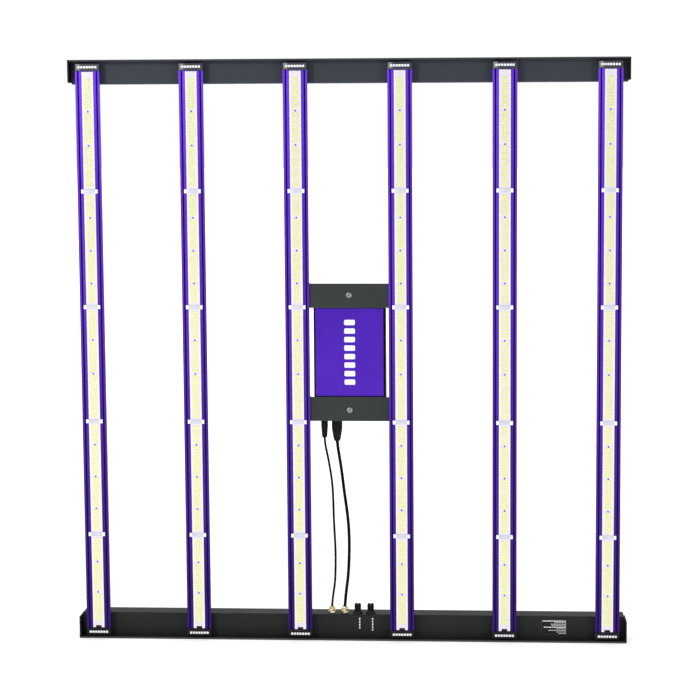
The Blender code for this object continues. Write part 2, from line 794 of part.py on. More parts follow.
def ring_points():
    """The D-shaped path of a ring about its pivot bar, in the plane of the rail's back."""
    bar_end = RING_HALF_WIDTH - RING_CORNER
    right = arc((bar_end, -RING_CORNER), RING_CORNER, 90, 0, 3)
    bow = arc((0.0, -RING_LEG), RING_HALF_WIDTH, 0, -180, 9)
    left = arc((-bar_end, -RING_CORNER), RING_CORNER, 180, 90, 3)
    return [Vector((x, 0.0, z)) for x, z in right + bow + left]


def hanging_rings(material):
    for is_top, level in ((True, "top"), (False, "bottom")):
        for side, hand in ((-1, "left"), (1, "right")):
            pivot = (side * RING_X, at(RING_DEPTH), pivot_z(is_top))
            tube(f"hanging_ring_{level}_{hand}", ring_points(), RING_WIRE, material, location=pivot, closed=True)


def main():
    clear_scene()
    charcoal = make_material("charcoal_powder_coat", (0.030, 0.032, 0.034), 0.55, 0.2)
    purple = make_material("purple_anodised", (0.085, 0.030, 0.420), 0.38, 0.85)
    face_purple = make_material("purple_face", (0.075, 0.022, 0.460), 0.42, 0.6)
    black_metal = make_material("black_anodised", (0.012, 0.012, 0.013), 0.45, 0.7)
    black_plastic = make_material("black_plastic", (0.018, 0.018, 0.020), 0.5)
    white_board = make_material("white_board", (0.86, 0.85, 0.92), 0.45)
    rubber = make_material("black_rubber", (0.012, 0.012, 0.012), 0.75)
    steel = make_material("bright_steel", (0.60, 0.61, 0.62), 0.3, 1.0)
    brass = make_material("brass", (0.78, 0.58, 0.27), 0.22, 1.0)
    circuit = make_material("circuit_green", (0.02, 0.12, 0.05), 0.5)
    label = make_material("label_black", (0.015, 0.015, 0.016), 0.5)

    for is_top, level in ((True, "top"), (False, "bottom")):
        rail_channel(f"{level}_rail", is_top, charcoal)
        rail_cover(f"{level}_rail_cover", is_top, charcoal)
        for side, hand in ((-1, "left"), (1, "right")):
            rail_end_plate(f"rail_end_plate_{level}_{hand}", side, is_top, charcoal)

    for number, x in enumerate(BAR_XS, start=1):
        bar_extrusion(number, x, purple)
        led_strip(number, x, white_board)
        bar_end_cap(f"bar_end_cap_top_{number}", x, True, black_plastic)
        bar_end_cap(f"bar_end_cap_bottom_{number}", x, False, black_plastic)

    driver_case(black_metal)
    driver_face_panel(face_purple)
    driver_end_cover("driver_top_cover", 1, ((INLET_X, 0.0098),), black_metal)
    driver_end_cover("driver_bottom_cover", -1, ((CONTROL_X, 0.0052), (POWER_X, 0.0080)), black_metal)
    driver_circuit_board(circuit)
    driver_bracket("driver_bracket_top", 1, charcoal)
    driver_bracket("driver_bracket_bottom", -1, charcoal)
    driver_screw("driver_screw_top", 1, steel)
    driver_screw("driver_screw_bottom", -1, steel)
    mains_inlet(black_plastic)

    strain_relief("control_strain_relief", CONTROL_X, (0.0068, 0.0058, 0.0043), 0.3967, rubber)
    strain_relief("power_strain_relief", POWER_X, (0.0104, 0.0096, 0.0060), 0.3900, rubber)
    control_step = 3 * CONTROL_CABLE_DIAMETER
    power_step = 2.5 * POWER_CABLE_DIAMETER
    tube("control_cable", smooth_route(CONTROL_ROUTE, control_step), CONTROL_CABLE_DIAMETER, rubber)
    tube("power_cable", smooth_route(POWER_ROUTE, power_step), POWER_CABLE_DIAMETER, rubber)
    for name, x in (("control", FITTING_XS[0]), ("power", FITTING_XS[1])):
        gland_body(f"{name}_gland_body", x, brass)
        gland_nut(f"{name}_gland_nut", x, brass)
    for number, x in enumerate(FITTING_XS[2:], start=1):
        control_port(number, x, black_plastic)
        dust_cap(number, x, rubber)
    distribution_board(circuit)
    rating_plate(label)
    hanging_rings(steel)


main()
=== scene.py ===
"""Looks of a six-bar LED grow light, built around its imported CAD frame, in metres."""

import math

import bmesh
import bpy
from mathutils import Matrix, Vector
from mathutils.geometry import interpolate_bezier


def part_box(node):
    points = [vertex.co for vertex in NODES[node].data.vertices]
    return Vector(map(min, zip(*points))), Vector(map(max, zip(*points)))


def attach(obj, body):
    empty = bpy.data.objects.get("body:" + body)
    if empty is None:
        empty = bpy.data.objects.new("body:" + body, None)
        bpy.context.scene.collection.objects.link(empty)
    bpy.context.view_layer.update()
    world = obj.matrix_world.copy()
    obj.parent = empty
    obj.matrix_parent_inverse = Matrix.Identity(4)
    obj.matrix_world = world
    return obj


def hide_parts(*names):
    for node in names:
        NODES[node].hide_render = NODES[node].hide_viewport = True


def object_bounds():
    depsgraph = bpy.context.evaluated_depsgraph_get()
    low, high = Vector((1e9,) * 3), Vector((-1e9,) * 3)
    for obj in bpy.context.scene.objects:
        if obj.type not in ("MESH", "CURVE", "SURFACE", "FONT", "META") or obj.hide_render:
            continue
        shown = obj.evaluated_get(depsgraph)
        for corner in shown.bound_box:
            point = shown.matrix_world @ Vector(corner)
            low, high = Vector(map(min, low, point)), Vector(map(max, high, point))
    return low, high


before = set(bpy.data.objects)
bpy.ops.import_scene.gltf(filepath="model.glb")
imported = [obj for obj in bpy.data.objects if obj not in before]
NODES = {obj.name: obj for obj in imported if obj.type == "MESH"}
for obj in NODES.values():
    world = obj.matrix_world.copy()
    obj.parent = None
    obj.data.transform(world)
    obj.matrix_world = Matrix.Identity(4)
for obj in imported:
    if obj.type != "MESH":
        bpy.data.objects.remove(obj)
cad_low, cad_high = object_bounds()

ROOT = "light_frame"
FRONT = cad_low.y


def middle_of(node):
    """The middle of a CAD node's box."""
    low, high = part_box(node)
    return (low + high) / 2


BAR_COUNT = 6
BAR_PITCH = 0.1995
BAR_XS = [middle_of(f"light_bar_{number}").x for number in range(1, BAR_COUNT + 1)]
DRIVER_Z = middle_of("driver_case").z

# LED boards. Widths are across X, depths behind the rails' front rim, and heights above the floor.
BOARD_HALF = 0.011
BOARD_FRONT = 0.0044
BOARD_BACK = 0.0057
BOARD_TOP = 1.1091
BOARD_BOTTOM = 0.0205
BOARD_JOINTS = (0.880, 0.656, 0.432, 0.208)
BOARD_SCREWS = (
    (1.0328, 0.9676),
    (0.8288, 0.7652, 0.7020),
    (0.5916, 0.5256),
    (0.3860, 0.3228, 0.2592),
    (0.1528, 0.0920),
)
SCREW_HEIGHTS = [height for board in BOARD_SCREWS for height in board]
# The rows of LED packages on each board, from the top: (height of the first, pitch, count).
LED_ROWS = (
    (1.0929, 0.00594, 35),
    (0.8696, 0.00578, 36),
    (0.6460, 0.00598, 35),
    (0.4212, 0.00577, 36),
    (0.1972, 0.00554, 30),
)
COLUMN_PITCH = 0.0056
PACKAGE_HALF = (0.0025, 0.0021)
PACKAGE_HEIGHT = 0.0007
PACKAGE_CHAMFER = 0.00012
WINDOW_BORDER = 0.00016
WINDOW_SINK = 0.00006
SCREW_CLEARANCE = 0.0028
STRAP_HALF_HEIGHT = 0.0038
STRAP_CHAMFER = 0.0003

# Depths behind the rails' front rim, and half widths across a bar
RIM_DEPTH = 0.0025
GROOVE_DEPTHS = (0.0050, 0.0072)
GROOVE_REACH = 0.0198
LED_FIELD_EDGE = (0.0080, 0.0086)
LEDGE_FRONT = 0.0045
CAP_FRONT = 0.0036
COVER_BACK = 0.054

# Leads. Each route is (x, depth behind the rails' front rim, z), the same as the CAD solid's.
CONTROL_DIAMETER = 0.0044
POWER_DIAMETER = 0.0060
CONTROL_ROUTE = (
    (-0.0515, 0.0330, 0.3964),
    (-0.0502, 0.0328, 0.3820),
    (-0.0428, 0.0316, 0.3440),
    (-0.0367, 0.0306, 0.2980),
    (-0.0345, 0.0304, 0.2330),
    (-0.0319, 0.0310, 0.1670),
    (-0.0332, 0.0318, 0.1130),
    (-0.0376, 0.0326, 0.0800),
    (-0.0397, 0.0330, 0.0601),
)
POWER_ROUTE = (
    (-0.0270, 0.0330, 0.3897),
    (-0.0252, 0.0326, 0.3740),
    (-0.0190, 0.0308, 0.3340),
    (-0.0137, 0.0296, 0.2907),
    (-0.0068, 0.0294, 0.2354),
    (-0.0046, 0.0302, 0.1855),
    (-0.0068, 0.0314, 0.1286),
    (-0.0118, 0.0324, 0.0860),
    (-0.0143, 0.0330, 0.0601),
)


def at(depth):
    """The Y coordinate of a depth behind the rails' front rim."""
    return FRONT + depth


# Camera -----------------------------------------------------------------------------------------

CAMERA_PLACE = Vector((0.24090, at(-3.05891), 1.01755))
CAMERA_FORWARD = Vector((-0.04531, 0.99518, -0.08699)).normalized()
CAMERA_RIGHT = Vector((0.99897, 0.04508, -0.00458)).normalized()
CAMERA_UP = CAMERA_RIGHT.cross(CAMERA_FORWARD)
CAMERA_SENSOR = 36.0
CAMERA_LENS = 82.654
CAMERA_SHIFT = (-0.0733, -0.1305)

bpy.context.scene.view_settings.view_transform = "Standard"
camera = bpy.data.objects.new("camera", bpy.data.cameras.new("camera"))
camera.data.sensor_width = CAMERA_SENSOR
camera.data.lens = CAMERA_LENS
camera.data.shift_x, camera.data.shift_y = CAMERA_SHIFT
camera_turn = Matrix((CAMERA_RIGHT, CAMERA_UP, -CAMERA_FORWARD)).transposed()
camera.matrix_world = Matrix.Translation(CAMERA_PLACE) @ camera_turn.to_4x4()
bpy.context.scene.collection.objects.link(camera)
bpy.context.scene.camera = camera


# Materials (colours are linear) -----------------------------------------------------------------


NOISE_ROUGHNESS = 0.55
NOISE_SPAN = (0.3, 0.7)  # where nearly all of a noise's values lie
# 1 - cosine of the normal's turn where an edge's mask starts, and where it is full
EDGE_TURN = (0.02, 1 / 12)


class Shader:
    """A small builder for one procedural Principled material."""

    def __init__(self, name, metallic=0.0, **sockets):
        self.material = bpy.data.materials.new(name)
        self.material.use_nodes = True
        self.nodes = self.material.node_tree.nodes
        self.links = self.material.node_tree.links
        self.bsdf = self.nodes["Principled BSDF"]
        self.bsdf.inputs["Metallic"].default_value = metallic
        for socket, value in sockets.items():
            self.bsdf.inputs[socket.replace("_", " ")].default_value = value
        self.coordinates = self.nodes.new("ShaderNodeTexCoord")

    def link(self, source, target):
        self.links.new(source, target)

    def noise(self, scale, detail=3.0, stretch=(1.0, 1.0, 1.0)):
        """Noise in object space; scale is in cycles per metre."""
        mapping = self.nodes.new("ShaderNodeMapping")
        mapping.inputs["Scale"].default_value = stretch
        self.link(self.coordinates.outputs["Object"], mapping.inputs["Vector"])
        noise = self.nodes.new("ShaderNodeTexNoise")
        noise.inputs["Scale"].default_value = scale
        noise.inputs["Detail"].default_value = detail
        noise.inputs["Roughness"].default_value = NOISE_ROUGHNESS
        self.link(mapping.outputs["Vector"], noise.inputs["Vector"])
        return noise.outputs["Fac"]

    def ramp(self, factor, low, high, start=0.0, end=1.0):
        """Maps factor from start..end to low..high."""
        node = self.nodes.new("ShaderNodeMapRange")
        node.inputs["From Min"].default_value = start
        node.inputs["From Max"].default_value = end
        node.inputs["To Min"].default_value = low
        node.inputs["To Max"].default_value = high
        self.link(factor, node.inputs["Value"])
        return node.outputs["Result"]

    def mix(self, factor, first, second):
        """Mixes two colours; each is a tuple or a socket."""
        node = self.nodes.new("ShaderNodeMix")
        node.data_type = "RGBA"
        self.link(factor, node.inputs["Factor"])
        for socket, value in (("A", first), ("B", second)):
            target = next(i for i in node.inputs if i.name == socket and i.type == "RGBA")
            if isinstance(value, tuple):
                target.default_value = (*value, 1.0)
            else:
                self.link(value, target)
        return next(o for o in node.outputs if o.type == "RGBA")

    def math(self, operation, first, second=0.0):
        """One of Blender's math operations on two numbers or sockets."""
        node = self.nodes.new("ShaderNodeMath")
        node.operation = operation
        for index, value in enumerate((first, second)):
            if isinstance(value, (int, float)):
                node.inputs[index].default_value = value
            else:
                self.link(value, node.inputs[index])
        return node.outputs["Value"]

    def axis(self, name):
        """One of the object-space coordinates."""
        node = self.nodes.new("ShaderNodeSeparateXYZ")
        self.link(self.coordinates.outputs["Object"], node.inputs["Vector"])
        return node.outputs[name]

    def edges(self, radius):
        """A mask that is 1 on convex or concave edges within radius."""
        bevel = self.nodes.new("ShaderNodeBevel")
        bevel.samples = 4
        bevel.inputs["Radius"].default_value = radius
        geometry = self.nodes.new("ShaderNodeNewGeometry")
        dot = self.nodes.new("ShaderNodeVectorMath")
        dot.operation = "DOT_PRODUCT"
        self.link(bevel.outputs["Normal"], dot.inputs[0])
        self.link(geometry.outputs["Normal"], dot.inputs[1])
        turn = self.math("SUBTRACT", 1.0, dot.outputs["Value"])
        return self.ramp(turn, 0.0, 1.0, *EDGE_TURN)

    def colour(self, value):
        self.link(value, self.bsdf.inputs["Base Color"])

    def roughness(self, value):
        self.link(value, self.bsdf.inputs["Roughness"])

    def paint_shade_with_height(self, value, share):
        """The same colour with painted shade, darker by a share toward the top of the light."""
        painted_shade = self.ramp(self.axis("Z"), 0.0, share, 0.1, 1.0)
        return self.mix(painted_shade, value, (0.0, 0.0, 0.0))

    def bump(self, height, distance, strength=1.0):
        node = self.nodes.new("ShaderNodeBump")
        node.inputs["Distance"].default_value = distance
        node.inputs["Strength"].default_value = strength
        self.link(height, node.inputs["Height"])
        self.link(node.outputs["Normal"], self.bsdf.inputs["Normal"])


def powder_coat(name, dark, light, edge, high=None):
    """Fine orange-peel paint, lighter along its edges, partly worn and partly a painted highlight.
    high is its colour at the top of the light, a painted gradient of light with height; with high,
    its front rim near the floor also takes the edge colour as a painted highlight.
    """
    shader = Shader(name, Specular_IOR_Level=0.16)
    broad = shader.noise(9.0, detail=4.0)
    peel = shader.noise(1500.0, detail=2.0)
    colour = shader.mix(shader.ramp(broad, 0.0, 1.0, *NOISE_SPAN), dark, light)
    if high:
        # Painted light: the coat grows lighter toward the top of the light.
        height = shader.axis("Z")
        colour = shader.mix(shader.ramp(height, 0.0, 1.0, 0.05, 1.05), colour, high)
        # Painted highlight: the front rim near the floor takes the edge colour.
        rim = shader.math("LESS_THAN", shader.axis("Y"), at(RIM_DEPTH))
        painted_rim_highlight = shader.math("MULTIPLY", rim, shader.ramp(height, 0.75, 0.0, 0.02, 0.06))
        colour = shader.mix(painted_rim_highlight, colour, edge)
    # Edges lighter in patches: partly worn paint, partly a painted highlight.
    edge_sheen_share = shader.ramp(shader.noise(160.0), 0.55, 1.0, 0.35, 0.7)
    edge_wear_and_sheen = shader.math("MULTIPLY", shader.edges(0.0012), edge_sheen_share)
    shader.colour(shader.mix(edge_wear_and_sheen, colour, edge))
    uneven = shader.math("ADD", broad, shader.noise(600.0))
    shader.roughness(shader.ramp(uneven, 0.42, 0.62, 0.6, 1.4))
    shader.bump(peel, 0.00006, 0.6)
    return shader.material


def anodised(name, low, high, edge, groove=None):
    """Extruded and anodised metal: die lines along Z, a painted highlight on its edges, and painted
    light and shade that rise from low at its foot to high at its top. groove is the painted shade
    in the grooves beside a bar's board; with groove, the right side of each bar is also painted
    darker."""
    shader = Shader(name, metallic=0.45, Specular_IOR_Level=0.08)
    lines = shader.noise(2600.0, detail=2.0, stretch=(1.0, 1.0, 0.004))
    cloud = shader.noise(7.0, detail=3.0, stretch=(1.0, 1.0, 0.5))
    height = shader.axis("Z")
    # Painted light: the colour rises with height, is held down near the foot and lifts near the
    # top.
    slope = shader.ramp(height, 0.12, 0.68, 0.08, 0.95)
    foot = shader.ramp(height, 0.55, 1.0, 0.08, 0.20)
    head = shader.ramp(height, 0.0, 0.24, 0.90, 1.09)
    rise = shader.math("ADD", shader.math("MULTIPLY", slope, foot), head)
    shade = shader.math("ADD", rise, shader.ramp(cloud, -0.05, 0.07, *NOISE_SPAN))
    if groove:
        across = shader.math("ADD", shader.axis("X"), BAR_PITCH / 2 - BAR_XS[0])
        across = shader.math("FLOORED_MODULO", across, BAR_PITCH)
        across = shader.math("SUBTRACT", across, BAR_PITCH / 2)
        # Painted shade: the right side of each bar is darker.
        shade = shader.math("MULTIPLY", shade, shader.ramp(across, 1.0, 0.78, -0.004, 0.012))
    body = shader.mix(shade, low, high)
    # The edge colour follows the painted light and shade.
    edge = shader.mix(shade, tuple(0.3 * part for part in edge), edge)
    body = shader.mix(shader.ramp(lines, 0.0, 0.16, 0.35, 0.65), body, edge)
    # Painted shade: the grooves beside the board darken with depth.
    if groove:
        inside = shader.math("LESS_THAN", shader.math("ABSOLUTE", across), GROOVE_REACH)
        start, end = GROOVE_DEPTHS
        depth = shader.ramp(shader.axis("Y"), 0.0, 1.0, at(start), at(end))
        body = shader.mix(shader.math("MULTIPLY", depth, inside), body, groove)
    # Painted highlight along the edges.
    shader.colour(shader.mix(shader.math("MULTIPLY", shader.edges(0.0005), 0.55), body, edge))
    shader.roughness(shader.ramp(lines, 0.30, 0.46, *NOISE_SPAN))
    shader.bump(lines, 0.00004, 0.35)
    return shader.material


def moulded(
    name, dark, light, rough=(0.38, 0.55), grain=2200.0, depth=0.00004, edge=None, **sockets
):
    """Moulded plastic or rubber with a fine spark-eroded grain; edge, where given, is a painted
    highlight along its edges.
    """
    shader = Shader(name, **sockets)
    fine = shader.noise(grain, detail=2.0)
    broad = shader.noise(60.0, detail=3.0)
    colour = shader.mix(shader.ramp(broad, 0.0, 1.0, 0.35, 0.65), dark, light)
    if edge:
        # Painted highlight on the edges.
        colour = shader.mix(shader.math("MULTIPLY", shader.edges(0.0004), 0.6), colour, edge)
    shader.colour(colour)
    shader.roughness(shader.ramp(fine, *rough, *NOISE_SPAN))
    shader.bump(fine, depth, 0.5)
    return shader.material


def plated(name, low, high, rough=(0.18, 0.34), edge=(0.95, 0.93, 0.88), metallic=1.0):
    """Bright metal with fine turning marks, a little tarnish and a painted highlight along its
    edges.
    """
    shader = Shader(name, metallic=metallic)
    marks = shader.noise(900.0, detail=4.0, stretch=(1.0, 1.0, 5.0))
    tarnish = shader.noise(240.0, detail=3.0)
    colour = shader.mix(shader.ramp(tarnish, 0.0, 1.0, 0.35, 0.7), low, high)
    # Painted highlight on the edges.
    shader.colour(shader.mix(shader.math("MULTIPLY", shader.edges(0.0003), 0.5), colour, edge))
    shader.roughness(shader.ramp(marks, *rough, *NOISE_SPAN))
    shader.bump(marks, 0.00003, 0.4)
    return shader.material


def board_white():
    """White solder mask: copper shows faintly through it down the middle, under the LED field."""
    shader = Shader("board_white", Coat_Weight=0.15, Coat_Roughness=0.25)
    field = shader.ramp(shader.math("ABSOLUTE", shader.axis("X")), 1.0, 0.0, *LED_FIELD_EDGE)
    grain = shader.noise(1200.0, detail=2.0)
    weave = shader.ramp(grain, 0.0, 1.0, *NOISE_SPAN)
    margin = shader.mix(weave, (0.87, 0.86, 0.94), (0.92, 0.91, 0.97))
    middle = shader.mix(weave, (0.77, 0.74, 0.81), (0.83, 0.79, 0.86))
    # Painted shade: the board is darker toward the top of the light.
    shader.colour(shader.paint_shade_with_height(shader.mix(field, margin, middle), 0.10))
    shader.roughness(shader.ramp(grain, 0.32, 0.46, *NOISE_SPAN))
    shader.bump(grain, 0.00002, 0.4)
    return shader.material


def phosphor():
    """The yellow window of an LED package, a little different from batch to batch."""
    shader = Shader("led_phosphor", Coat_Weight=0.3, Coat_Roughness=0.15)
    grain = shader.noise(2600.0, detail=2.0)
    batch = shader.ramp(shader.noise(90.0, detail=1.0), 0.0, 1.0, *NOISE_SPAN)
    base = shader.mix(batch, (0.86, 0.87, 0.27), (0.91, 0.91, 0.36))
    speckled = shader.mix(shader.ramp(grain, 0.0, 0.4, 0.4, 0.7), base, (0.92, 0.92, 0.54))
    # Painted shade: the windows are darker toward the top of the light.
    shader.colour(shader.paint_shade_with_height(speckled, 0.14))
    shader.roughness(shader.ramp(grain, 0.32, 0.5, *NOISE_SPAN))
    shader.bump(grain, 0.00003, 0.4)
    return shader.material


def painted_face():
    """The driver's purple face, lighter toward its foot by painted shading, with a painted
    highlight along its edges.
    """
    shader = Shader(
        "face_purple", metallic=0.35, Coat_Weight=0.04, Coat_Roughness=0.3, Specular_IOR_Level=0.2
    )
    grain = shader.noise(1800.0, detail=2.0)
    cloud = shader.ramp(shader.noise(14.0, detail=4.0), -0.1, 0.3, *NOISE_SPAN)
    # Painted shading: lighter toward the foot.
    fall = shader.ramp(shader.axis("Z"), 1.0, 0.0, DRIVER_Z - 0.09, DRIVER_Z + 0.09)
    mixed = shader.math("ADD", shader.math("MULTIPLY", fall, 0.7), cloud)
    body = shader.mix(mixed, (0.058, 0.009, 0.40), (0.086, 0.017, 0.50))
    # Painted highlight on the edges.
    edge_sheen_share = shader.math("MULTIPLY", shader.edges(0.0006), 0.5)
    shader.colour(shader.mix(edge_sheen_share, body, (0.16, 0.08, 0.66)))
    shader.roughness(shader.ramp(grain, 0.34, 0.5, *NOISE_SPAN))
    shader.bump(grain, 0.00003, 0.4)
    return shader.material


# The rails' coat: high paints light toward their top, and the edge colour paints highlights on
# edges and the bottom rim.
CHARCOAL = powder_coat(
    "charcoal_powder_coat",
    (0.013, 0.0145, 0.0145),
    (0.018, 0.020, 0.0195),
    edge=(0.075, 0.078, 0.082),
    high=(0.038, 0.043, 0.054),
)
BLACK_COAT = powder_coat(
    "black_coat", (0.004, 0.004, 0.005), (0.008, 0.008, 0.009), edge=(0.03, 0.03, 0.032)
)
# Dark paint like the rails', painted lighter for the light that falls at the driver's height.
BRACKET_COAT_PAINTED_LIT = powder_coat(
    "bracket_coat_painted_lit", (0.027, 0.032, 0.031), (0.037, 0.043, 0.041), edge=(0.08, 0.085, 0.085)
)
# Painted light and shade rise from low to high with height; groove is the painted shade in the
# grooves.
PURPLE = anodised(
    "purple_anodised",
    (0.021, 0.004, 0.088),
    (0.172, 0.050, 0.87),
    edge=(0.31, 0.15, 0.98),
    groove=(0.012, 0.002, 0.075),
)
BLACK_METAL = anodised(
    "black_anodised", (0.006, 0.006, 0.008), (0.013, 0.013, 0.016), edge=(0.05, 0.05, 0.06)
)
FACE_PURPLE = painted_face()
# The top caps' black plastic, painted lighter for the light that falls on them from above.
CAP_TOP_PAINTED_LIT = moulded(
    "cap_black_painted_lit", (0.020, 0.021, 0.036), (0.040, 0.042, 0.062), (0.3, 0.45), edge=(0.12, 0.12, 0.17)
)
CAP_BOTTOM = moulded(
    "cap_black",
    (0.004, 0.003, 0.006),
    (0.008, 0.007, 0.011),
    (0.3, 0.45),
    edge=(0.02, 0.02, 0.03),
    Specular_IOR_Level=0.2,
)
PLASTIC = moulded(
    "black_plastic",
    (0.004, 0.004, 0.004),
    (0.008, 0.008, 0.009),
    edge=(0.03, 0.03, 0.032),
    Specular_IOR_Level=0.25,
)
RUBBER = moulded(
    "black_rubber",
    (0.003, 0.003, 0.003),
    (0.007, 0.007, 0.007),
    (0.5, 0.7),
    grain=1500.0,
    depth=0.00008,
    Specular_IOR_Level=0.12,
)
CABLE = moulded(
    "cable_sheath",
    (0.002, 0.002, 0.002),
    (0.004, 0.004, 0.005),
    (0.5, 0.65),
    grain=900.0,
    depth=0.00006,
    Specular_IOR_Level=0.05,
)
SCREW_DARK = plated(
    "screw_dark", (0.10, 0.09, 0.13), (0.20, 0.18, 0.24), (0.3, 0.45), edge=(0.5, 0.5, 0.55)
)
BOARD = board_white()
HOUSING = moulded("led_housing", (0.88, 0.85, 0.85), (0.93, 0.90, 0.90), (0.3, 0.45))
PHOSPHOR = phosphor()
STRAP_WHITE = moulded("strap_white", (0.90, 0.90, 0.93), (0.95, 0.95, 0.97), (0.3, 0.45))
STRAP_FILM = moulded("strap_film", (0.60, 0.60, 0.70), (0.68, 0.68, 0.76), (0.25, 0.4))
STEEL = plated("bright_steel", (0.56, 0.55, 0.52), (0.72, 0.71, 0.69))
BOLT = plated(
    "bolt_zinc", (0.26, 0.26, 0.26), (0.36, 0.36, 0.35), (0.42, 0.55), edge=(0.6, 0.6, 0.6)
)
RING_STEEL = plated("ring_steel", (0.50, 0.50, 0.50), (0.66, 0.66, 0.67), (0.2, 0.36))
BRASS = plated(
    "brass",
    (0.62, 0.38, 0.10),
    (0.99, 0.94, 0.74),
    (0.05, 0.14),
    edge=(1.0, 0.98, 0.92),
    metallic=0.75,
)
CIRCUIT = moulded("circuit_green", (0.012, 0.10, 0.04), (0.03, 0.16, 0.07), (0.3, 0.5))
INK = moulded("white_ink", (0.84, 0.84, 0.88), (0.92, 0.92, 0.95), (0.45, 0.6))
PALE_PATCH = moulded("pale_patch", (0.16, 0.17, 0.17), (0.22, 0.23, 0.23), (0.45, 0.6))
DIM_INK = moulded("grey_ink", (0.07, 0.07, 0.075), (0.11, 0.11, 0.12), (0.45, 0.6))
# Painted shadow for the driver bolts' sockets.
BOLT_SOCKET_PAINTED_SHADOW = moulded("bolt_socket_painted_shadow", (0.085, 0.085, 0.085), (0.12, 0.12, 0.12), (0.5, 0.65))
# Painted shadow for the screws' cross recesses.
SOCKET_PAINTED_SHADOW = moulded("socket_painted_shadow", (0.004, 0.004, 0.005), (0.008, 0.008, 0.009), (0.5, 0.7))


# Shapes -----------------------------------------------------------------------------------------


def finished(name, bm, *materials, smooth=30.0):
    """Turns a bmesh into a mesh that is smooth up to an angle. The materials fill its slots."""
    bmesh.ops.recalc_face_normals(bm, faces=bm.faces)
    mesh = bpy.data.meshes.new(name)
    bm.to_mesh(mesh)
    bm.free()
    for material in materials:
        mesh.materials.append(material)
    mesh.shade_smooth()
    mesh.set_sharp_from_angle(angle=math.radians(smooth))
    return mesh


def place(name, data, body=ROOT, location=(0.0, 0.0, 0.0)):
    """Makes a piece from a mesh or curve, which rides on a body."""
    obj = bpy.data.objects.new(name, data)
    obj.location = location
    bpy.context.scene.collection.objects.link(obj)
    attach(obj, body)
    return obj


def show(name, bm, *materials, smooth=35.0):
    """Makes a piece of the fixed frame from a bmesh."""
    return place(name, finished(name, bm, *materials, smooth=smooth))


def add_turned(bm, profile, origin, axis, sides, turn=0.0, material_index=0):
    """Turns (radius, height) points about an axis through origin, on which the end points lie."""
    turned = Vector(axis).to_track_quat("Z", "Y").to_matrix()
    start = Vector(origin)
    rings = []
    for radius, height in profile[1:-1]:
        ring = []
        for side in range(sides):
            angle = turn + 2 * math.pi * side / sides
            offset = Vector((radius * math.cos(angle), radius * math.sin(angle), height))
            ring.append(bm.verts.new(start + turned @ offset))
        rings.append(ring)
    for lower, upper in zip(rings, rings[1:]):
        for side in range(sides):
            after = (side + 1) % sides
            face = bm.faces.new((lower[side], lower[after], upper[after], upper[side]))
            face.material_index = material_index
    for cap in (list(reversed(rings[0])), rings[-1]):
        bm.faces.new(cap).material_index = material_index


def rounded(profile, radius=0.0003):
    """Chamfers the inner corners of a profile, so that each edge catches the light."""
    points = [profile[0]]
    for before, here, after in zip(profile, profile[1:], profile[2:]):
        corner = Vector(here)
        back = Vector(before) - corner
        ahead = Vector(after) - corner
        reach = min(radius, back.length * 0.4, ahead.length * 0.4)
        points.append(tuple(corner + back.normalized() * reach))
        points.append(tuple(corner + ahead.normalized() * reach))
    points.append(profile[-1])
    return points


def add_block(bm, centre, half, chamfer, material_index=0):
    """A box with its front (-Y) edges chamfered. centre is on its back face, and half is half its
    width, its whole thickness and half its height."""
    x, y, z = centre
    wide, thick, tall = half
    rings = []
    for inset, depth in ((0.0, 0.0), (0.0, thick - chamfer), (chamfer, thick)):
        right, top = wide - inset, tall - inset
        corners = ((-right, -top), (right, -top), (right, top), (-right, top))
        rings.append([bm.verts.new((x + a, y - depth, z + b)) for a, b in corners])
    for lower, upper in zip(rings, rings[1:]):
        for side in range(4):
            after = (side + 1) % 4
            face = bm.faces.new((lower[side], lower[after], upper[after], upper[side]))
            face.material_index = material_index
    bm.faces.new(rings[0]).material_index = material_index
    front = bm.faces.new(rings[-1])
    front.material_index = material_index
    return front


def add_cross(bm, centre, reach, width, thickness):
    """A screw's cross recess painted as shadow: two thin dark bars on the head. reach and width are
    halves.
    """
    for half_x, half_z in ((reach, width), (width, reach)):
        add_block(bm, centre, (half_x, thickness, half_z), 0.00001, 1)


def rounded_outline(half_x, half_z, radius):
    """The outline of a rectangle with round corners."""
    steps = 4
    points = []
    for sign_x, sign_z, start in ((1, 1, 0), (-1, 1, 90), (-1, -1, 180), (1, -1, 270)):
        for step in range(steps + 1):
            angle = math.radians(start + 90 * step / steps)
            x = sign_x * (half_x - radius) + radius * math.cos(angle)
            z = sign_z * (half_z - radius) + radius * math.sin(angle)
            points.append((x, z))
    return points


def add_plate(bm, centre, half_x, half_z, radius, thickness, material_index=0):
    """A thin plate with round corners on a face that looks along -Y; centre is on its back."""
    x, y, z = centre
    outline = rounded_outline(half_x, half_z, radius)
    back = [bm.verts.new((x + a, y, z + b)) for a, b in outline]
    front = [bm.verts.new((x + a, y - thickness, z + b)) for a, b in outline]
    for index in range(len(outline)):
        after = (index + 1) % len(outline)
        face = bm.faces.new((back[index], back[after], front[after], front[index]))
        face.material_index = material_index
    bm.faces.new(back).material_index = material_index
    bm.faces.new(front).material_index = material_index


